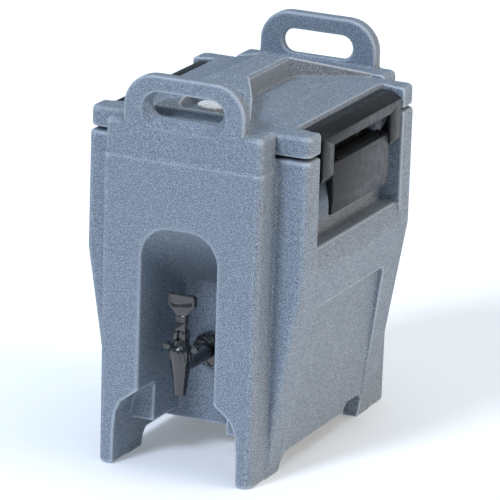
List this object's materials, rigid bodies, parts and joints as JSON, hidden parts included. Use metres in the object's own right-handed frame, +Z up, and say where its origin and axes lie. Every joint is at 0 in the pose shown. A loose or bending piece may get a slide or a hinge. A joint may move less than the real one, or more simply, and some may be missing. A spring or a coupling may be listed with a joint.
{
  "type": "insulated beverage carrier",
  "caption": "Upright double-walled insulated drink carrier with moulded carrying handles, a latched lift-off lid with a vent cap, and a lever tap in an arched recess.",
  "frame": {"origin": "on the floor, at the middle of the box round the whole carrier", "axes": "+Z up; the tap faces -Y; +X is the carrier's side that is on the right when the tap is faced"},
  "size_m": [0.274, 0.374, 0.464],
  "materials": {
    "moulded_shell": "speckled granite grey, rotomoulded, finely textured",
    "foam_core": "rigid closed-cell foam, sealed inside the moulded skin",
    "fill_plug": "moulded plug, welded in",
    "seal_rubber": "soft moulded seal",
    "latch_nylon": "black moulded nylon, satin",
    "steel_pin": "drawn stainless wire",
    "steel_screw": "stainless screws",
    "cap_plastic": "white moulded plastic",
    "tap_plastic": "glossy black moulded plastic",
    "tap_spring_steel": "stainless spring wire",
    "seat_silicone": "soft moulded silicone"
  },
  "bodies": {
    "body": {"body_right_side": "moulded_shell", "body_left_side": "moulded_shell", "body_tank_front": "moulded_shell", "body_tank_back": "moulded_shell", "body_front_wall": "moulded_shell", "body_rear_wall": "moulded_shell", "body_foam": "foam_core", "body_fill_plug": "fill_plug", "tap_body": "tap_plastic", "tap_bonnet": "tap_plastic", "tap_spring": "tap_spring_steel", "shank_outer_washer": "seal_rubber", "shank_inner_washer": "seal_rubber", "shank_nut": "tap_plastic", "right_latch_bracket": "latch_nylon", "right_latch_screws": "steel_screw", "right_latch_hinge_pin": "steel_pin", "left_latch_bracket": "latch_nylon", "left_latch_screws": "steel_screw", "left_latch_hinge_pin": "steel_pin"},
    "lid": {"lid_shell": "moulded_shell", "lid_foam": "foam_core", "lid_fill_plug": "fill_plug", "lid_gasket": "seal_rubber"},
    "vent_knob": {"vent_cap": "cap_plastic", "vent_seal": "seal_rubber"},
    "right_lever": {"right_latch_lever": "latch_nylon", "right_bail_pins": "steel_pin"},
    "left_lever": {"left_latch_lever": "latch_nylon", "left_bail_pins": "steel_pin"},
    "right_hook": {"right_latch_bail": "latch_nylon"},
    "left_hook": {"left_latch_bail": "latch_nylon"},
    "tap_plunger": {"tap_stem": "tap_plastic", "tap_seat_cup": "seat_silicone", "tap_lever_pin": "steel_pin"},
    "tap_handle": {"tap_lever": "tap_plastic"}
  },
  "joints": [
    {"name": "lid_lift", "type": "slide", "parent": "body", "child": "lid", "axis": [0, 0, 1], "range_m": [0, 0.11]},
    {"name": "vent_cap_turn", "type": "hinge", "parent": "lid", "child": "vent_knob", "pos_m": [0, -0.11, 0.415], "axis": [0, 0, 1], "range_deg": [0, 90]},
    {"name": "right_latch_open", "type": "hinge", "parent": "body", "child": "right_lever", "pos_m": [0.124, 0, 0.357], "axis": [0, -1, 0], "range_deg": [0, 70.5]},
    {"name": "right_hook_swing", "type": "hinge", "parent": "right_lever", "child": "right_hook", "pos_m": [0.12, 0, 0.349], "axis": [0, 1, 0], "range_deg": [0, 125.5]},
    {"name": "left_latch_open", "type": "hinge", "parent": "body", "child": "left_lever", "pos_m": [-0.124, 0, 0.357], "axis": [0, 1, 0], "range_deg": [0, 70.5]},
    {"name": "left_hook_swing", "type": "hinge", "parent": "left_lever", "child": "left_hook", "pos_m": [-0.12, 0, 0.349], "axis": [0, -1, 0], "range_deg": [0, 125.5]},
    {"name": "tap_lever_tilt", "type": "hinge", "parent": "tap_plunger", "child": "tap_handle", "pos_m": [0, -0.173, 0.165], "axis": [1, 0, 0], "range_deg": [0, 35], "stiffness_Nm_per_rad": 0.2},
    {"name": "tap_stem_lift", "type": "slide", "parent": "body", "child": "tap_plunger", "axis": [0, 0, 1], "range_m": [0, 0.0043], "deforming": ["tap_spring"]}
  ],
  "couplings": [
    {"joint": "tap_stem_lift", "follows": "tap_lever_tilt", "m_per_rad": 0.0068},
    {"joint": "right_latch_open", "follows": "lid_lift", "rad_per_m": 11.107},
    {"joint": "right_hook_swing", "follows": "lid_lift", "rad_per_m": 19.833},
    {"joint": "left_latch_open", "follows": "lid_lift", "rad_per_m": 11.107},
    {"joint": "left_hook_swing", "follows": "lid_lift", "rad_per_m": 19.833}
  ]
}
